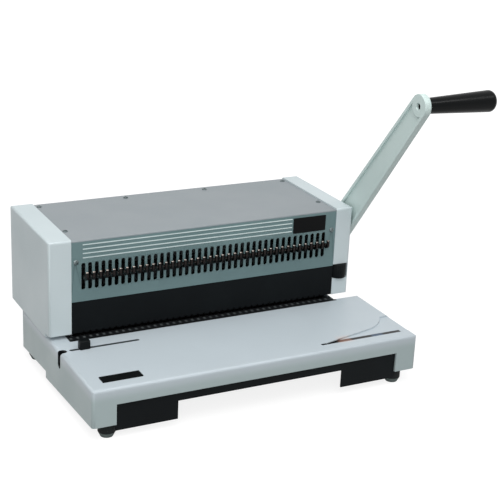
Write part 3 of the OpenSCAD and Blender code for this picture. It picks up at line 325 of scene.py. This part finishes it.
MARK_DEPTH = 6 * MM
PATCH_MARKS = [
    dict(from_right=92 * MM, half_x=9 * MM, span_y=(-4 * MM, 13 * MM), edge=5 * MM, color=(192, 188, 188)),
]
LINE_MARKS = [
    dict(from_right=92 * MM, half_x=9 * MM, span_y=(0.5 * MM, 7.5 * MM), edge=2.5 * MM, color=(120, 86, 72)),
    dict(from_right=45 * MM, half_x=8 * MM, span_y=(0.5 * MM, 7.5 * MM), edge=2.5 * MM, color=(58, 78, 100)),
]

# Painted highlights: grey spots along the lip, one for each punch, for the glints of the die's edges in the
# throat.
ROW_PITCH = 25.4 / 3 * MM
HOOK_HALF = 1.4 * MM
ROW_GLINT_HALF = 1.5 * MM
ROW_GLINT_Y = (142 * MM, 147 * MM)
ROW_GLINT_EDGE = 0.5 * MM
ROW_GLINT_GREY = (84, 89, 90)


def paint_base(finish):
    """Paints shade on the base's walls, hollow, slots, groove, gauge band and lip, prints its marks and
    paints glints on the lip.
    """
    (left, front, _), (right, back, top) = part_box("base_cover")
    ceiling = top - BASE_TOP
    groove_y = front + GROOVE_Y
    gauge_y = front + GAUGE_Y
    groove_x = [left + x for x in GROOVE_FROM_LEFT]
    gauge_x = [right - x for x in GAUGE_FROM_RIGHT]
    lip_x = left + LIP_FROM_LEFT, right - LIP_FROM_RIGHT
    inside = left + BASE_WALL, front + BASE_WALL, 0

    tray_hollow = inside, (right - BASE_WALL, front + TRAY_DEPTH - BASE_WALL, ceiling)
    body_hollow = inside, (right - BODY_RIGHT_IN - BASE_WALL, back - BASE_WALL, ceiling)
    groove = (
        (groove_x[0], groove_y - GROOVE_HALF, ceiling - SKIN),
        (groove_x[1], groove_y + GROOVE_HALF, top - SKIN),
    )
    edge_slot = (
        (left + SKIN, groove_y - EDGE_SLOT_HALF, top - EDGE_SLOT_DROP),
        (left + EDGE_SLOT_LENGTH, groove_y + EDGE_SLOT_HALF, top - SKIN),
    )
    gauge_slot = (
        (gauge_x[0], gauge_y - GAUGE_HALF, ceiling - SKIN),
        (gauge_x[1], gauge_y + GAUGE_HALF, top - SKIN),
    )
    gauge_shade_band = (
        (gauge_x[0], gauge_y, ceiling),
        (gauge_x[1], gauge_y + GAUGE_SHADE_BAND, top - GAUGE_SHADE_BAND_SKIN),
    )
    lip, row = (
        ((lip_x[0], front + y[0], top - SKIN), (lip_x[1], front + y[1], top + SKIN))
        for y in (LIP_Y, ROW_GLINT_Y)
    )

    def print_marks(marks):
        for mark in marks:
            middle = right - mark["from_right"]
            low = middle - mark["half_x"], gauge_y + mark["span_y"][0], top - MARK_DEPTH
            high = middle + mark["half_x"], gauge_y + mark["span_y"][1], top + MARK_DEPTH
            finish.paint([(low, high)], mark["edge"], mark["color"])

    # Painted shade: the walls darker towards the bottom.
    finish.tint(finish.spread(finish.axis(Z), top - WALL_SHADE_START, top - WALL_SHADE_FULL), WALL_PAINTED_SHADE)
    # Painted shade in the hollow under the tray and the body.
    finish.paint([tray_hollow, body_hollow], HOLLOW_EDGE, PAINTED_SHADE_BLACK)
    print_marks(PATCH_MARKS)
    # Painted shade in the groove, then in the slots, the band behind the gauge slot and the lip before the
    # throat.
    finish.paint([groove], SLOT_EDGE, GROOVE_PAINTED_SHADE)
    finish.paint([edge_slot, gauge_slot, gauge_shade_band, lip], SLOT_EDGE, PAINTED_SHADE_BLACK)
    print_marks(LINE_MARKS)

    # Painted highlights along the lip, one for each hook.
    first_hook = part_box("wire_hooks")[0][0] + HOOK_HALF
    places = finish.comb(X, first_hook, ROW_PITCH, ROW_GLINT_HALF, ROW_GLINT_EDGE)
    in_row = finish.within(*row, ROW_GLINT_EDGE)
    finish.tint(finish.calculate("MULTIPLY", places, in_row), ROW_GLINT_GREY)


paint_base(base_grey)


# Painted highlights on the hooks

HOOK_TIP_START = 1.2 * MM
HOOK_TIP_FULL = 0.5 * MM
# Colour of the painted glints on the hook tips.
TIP_GLINT_GREY = (150, 142, 136)


def paint_hook_glints(finish):
    """Paints highlights on the tips of the hooks, for the glints of the light on them."""
    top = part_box("wire_hooks")[1][2]
    finish.tint(finish.spread(finish.axis(Z), top - HOOK_TIP_START, top - HOOK_TIP_FULL), TIP_GLINT_GREY)


paint_hook_glints(hook_steel)


# Finish of each node

FINISHES = {
    base_grey: ["base_cover"],
    cap_grey: ["left_end_cap", "right_end_cap"],
    cover_grey: ["top_cover", "rear_cover"],
    panel_green: ["front_panel"],
    black_paint: ["throat_panel", "chassis_frame"],
    plate_black: ["front_badge", "base_badge"],
    silver_line: ["trim_lines"],
    zinc_steel: ["left_side_frame", "right_side_frame", "tie_bar", "drawer_runners", "lift_plate"],
    ground_steel: ["guide_pillars", "main_shaft", "punch_pins", "lift_screw"],
    hook_steel: ["wire_hooks"],
    dark_steel: [
        "hook_rail", "punch_bar", "pin_clamp", "drive_racks", "drive_pinions", "return_springs",
        "shaft_collar", "pillar_nuts", "stack_bolts", "lever_bolt", "grip_bolt", "lever_spacer",
        "guide_clamp", "die_plate", "paper_stop", "punch_guide",
    ],
    plated_screw: [
        "foot_screws", "base_screws", "cap_screws", "top_screws", "panel_screws", "rear_screws",
        "rack_screws", "guide_screw",
    ],
    bronze: ["shaft_bushes"],
    foot_rubber: ["rubber_feet"],
    lever_enamel: ["lever_arm"],
    grip_gloss: ["hand_grip"],
    black_plastic: ["height_wheel", "edge_guide"],
    drawer_plastic: ["waste_drawer"],
}

for finish, names in FINISHES.items():
    for name in names:
        mesh = nodes[name].data
        mesh.materials.clear()
        mesh.materials.append(finish.material)


# Foam strip on the back edge of the base

SEAL_END_GAP = 3.3 * MM
SEAL_WIDTH = 6 * MM
SEAL_HEIGHT = 1.3 * MM
SEAL_CLEAR = 0.1 * MM
SEAL_ROUND = 0.3 * MM
SEAL_SEGMENTS = 3


def make_seal():
    """Strip that keeps light out below the rear cover."""
    base_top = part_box("base_cover")[1][2]
    (cover_left, cover_front, _), (cover_right, _, _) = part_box("rear_cover")
    x = cover_left + SEAL_END_GAP, cover_right - SEAL_END_GAP
    y = cover_front - SEAL_CLEAR - SEAL_WIDTH, cover_front - SEAL_CLEAR
    z = base_top + SEAL_CLEAR, base_top + SEAL_CLEAR + SEAL_HEIGHT
    corners = [(x[i], y[j], z[k]) for i in (0, 1) for j in (0, 1) for k in (0, 1)]
    faces = [(0, 1, 3, 2), (4, 6, 7, 5), (0, 4, 5, 1), (2, 3, 7, 6), (0, 2, 6, 4), (1, 5, 7, 3)]
    seal = add_mesh("rear_seal", corners, faces, seal_foam.material)
    round_edges = seal.modifiers.new("round_edges", "BEVEL")
    round_edges.width = SEAL_ROUND
    round_edges.segments = SEAL_SEGMENTS
    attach(seal, "machine")


make_seal()


# Springs under the punch bar


def make_springs():
    """Springs with a copy of the mesh of the CAD ones, which stand in for them."""
    coils = add_object("return_coils", nodes["return_springs"].data.copy())
    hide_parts("return_springs")
    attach(coils, "machine")
    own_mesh(coils)


make_springs()


# Softened edges

WELD_REACH = 0.01 * MM
SHARP_ANGLE = math.radians(40)
EDGE_SEGMENTS = 2
EDGE_WIDTHS = {
    0.6 * MM: ["lever_arm", "base_cover"],
    0.4 * MM: ["left_end_cap", "right_end_cap", "chassis_frame", "wire_hooks", "waste_drawer"],
    0.25 * MM: [
        "front_panel", "throat_panel", "top_cover", "rear_cover", "front_badge", "base_badge",
        "height_wheel",
    ],
    0.2 * MM: ["top_screws", "panel_screws", "rear_screws", "punch_guide", "die_plate", "edge_guide"],
}


def soften(name, width):
    """Breaks the sharp edges of a node, so that they catch the light."""
    weld = nodes[name].modifiers.new("weld", "WELD")
    weld.merge_threshold = WELD_REACH
    bevel = nodes[name].modifiers.new("broken_edges", "BEVEL")
    bevel.width = width
    bevel.segments = EDGE_SEGMENTS
    bevel.limit_method = "ANGLE"
    bevel.angle_limit = SHARP_ANGLE
    bevel.harden_normals = True
    bevel.use_clamp_overlap = True


for width, names in EDGE_WIDTHS.items():
    for name in names:
        soften(name, width)


# Floor, light and camera

FLOOR_ROUGHNESS = 0.9
SENSOR_WIDTH = 36
PHOTO_PIXELS = 500
CLIP_END = 20


def light_path(tree):
    """High for rays from the camera, a mirror or glass, so that they see the plain background."""
    path = add_node(tree, "ShaderNodeLightPath")
    value = path.outputs["Is Camera Ray"]
    for other in ("Is Glossy Ray", "Is Transmission Ray"):
        most = add_node(tree, "ShaderNodeMath", operation="MAXIMUM")
        tree.links.new(value, most.inputs[0])
        tree.links.new(path.outputs[other], most.inputs[1])
        value = most.outputs["Value"]
    return value


def make_world(ambient):
    """Even light from all round, with a white background behind the machine."""
    world = bpy.data.worlds.new("studio")
    scene.world = world
    world.use_nodes = True
    tree = world.node_tree
    background = tree.nodes["Background"]
    set_sockets(background, Color=WHITE)
    strength = add_node(tree, "ShaderNodeMapRange")
    set_sockets(strength, To_Min=ambient, To_Max=1.0)
    tree.links.new(light_path(tree), strength.inputs["Value"])
    tree.links.new(strength.outputs["Result"], background.inputs["Strength"])


def floor_material(color, glow, near, far):
    """White that keeps a shadow up to the near distance and is the background from the far one on."""
    material = bpy.data.materials.new("floor_white")
    material.use_nodes = True
    tree = material.node_tree
    shader = tree.nodes["Principled BSDF"]
    set_sockets(shader, Base_Color=color, Roughness=FLOOR_ROUGHNESS)
    set_sockets(shader, Specular_IOR_Level=0.0, Emission_Color=WHITE)
    place = add_node(tree, "ShaderNodeTexCoord")
    distance = add_node(tree, "ShaderNodeVectorMath", operation="LENGTH")
    tree.links.new(place.outputs["Object"], distance.inputs[0])
    fade = add_node(tree, "ShaderNodeMapRange", interpolation_type="SMOOTHSTEP")
    set_sockets(fade, From_Min=near, From_Max=far, To_Min=glow, To_Max=1.0)
    tree.links.new(distance.outputs["Value"], fade.inputs["Value"])
    seen = add_node(tree, "ShaderNodeMath", operation="MULTIPLY")
    tree.links.new(light_path(tree), seen.inputs[0])
    tree.links.new(fade.outputs["Result"], seen.inputs[1])
    tree.links.new(seen.outputs["Value"], shader.inputs["Emission Strength"])
    return material


def make_floor(reach, material):
    """Square floor that reaches that far from the middle to each side."""
    corners = [(-reach, -reach, 0), (reach, -reach, 0), (reach, reach, 0), (-reach, reach, 0)]
    floor = add_mesh("floor", corners, [(0, 1, 2, 3)], material)


def make_lamp(name, place, aim, size, watts):
    """Soft lamp of that width and height that shines from place to aim."""
    lamp = bpy.data.lights.new(name, "AREA")
    lamp.shape = "RECTANGLE"
    lamp.size, lamp.size_y = size
    lamp.energy = watts
    obj = add_object(name, lamp)
    obj.location = place
    obj.rotation_euler = (Vector(aim) - Vector(place)).to_track_quat("-Z", "Y").to_euler()


def make_camera(target, azimuth, elevation, roll, distance, focal_pixels):
    """Camera at the photograph's viewing angle, given in degrees."""
    a, e, c = (math.radians(x) for x in (azimuth, elevation, roll))
    back = Vector((math.sin(a) * math.cos(e), -math.cos(a) * math.cos(e), math.sin(e)))
    right = Vector((math.cos(a), math.sin(a), 0))
    up = back.cross(right)
    turned_right = math.cos(c) * right + math.sin(c) * up
    turned_up = -math.sin(c) * right + math.cos(c) * up
    camera = bpy.data.cameras.new("camera")
    camera.sensor_width = SENSOR_WIDTH
    camera.lens = focal_pixels * SENSOR_WIDTH / PHOTO_PIXELS
    camera.clip_end = CLIP_END
    obj = add_object("camera", camera)
    turn = Matrix((turned_right, turned_up, back)).transposed()
    obj.matrix_world = Matrix.Translation(Vector(target) + distance * back) @ turn.to_4x4()
    scene.camera = obj


make_world(ambient=0.40)
make_floor(reach=6, material=floor_material(color=(0.25, 0.25, 0.25, 1), glow=0.84, near=0.5, far=1.3))
make_lamp("top_lamp", place=(-0.3, -0.4, 1.7), aim=(0, 0, 0.1), size=(1.8, 1.8), watts=21)
make_lamp("front_lamp", place=(-0.9, -1.5, 1.0), aim=(0, 0, 0.1), size=(1.4, 1.4), watts=15)
make_lamp("hook_lamp", place=(0.79, -0.9, 1.34), aim=(0, 0, 0.15), size=(0.7, 0.2), watts=3)
make_camera(
    target=(3.0 * MM, -1.5 * MM, 148.2 * MM), azimuth=-27.89, elevation=19.89, roll=2.69,
    distance=1588 * MM, focal_pixels=1250.9,
)
scene.view_settings.view_transform = "Standard"
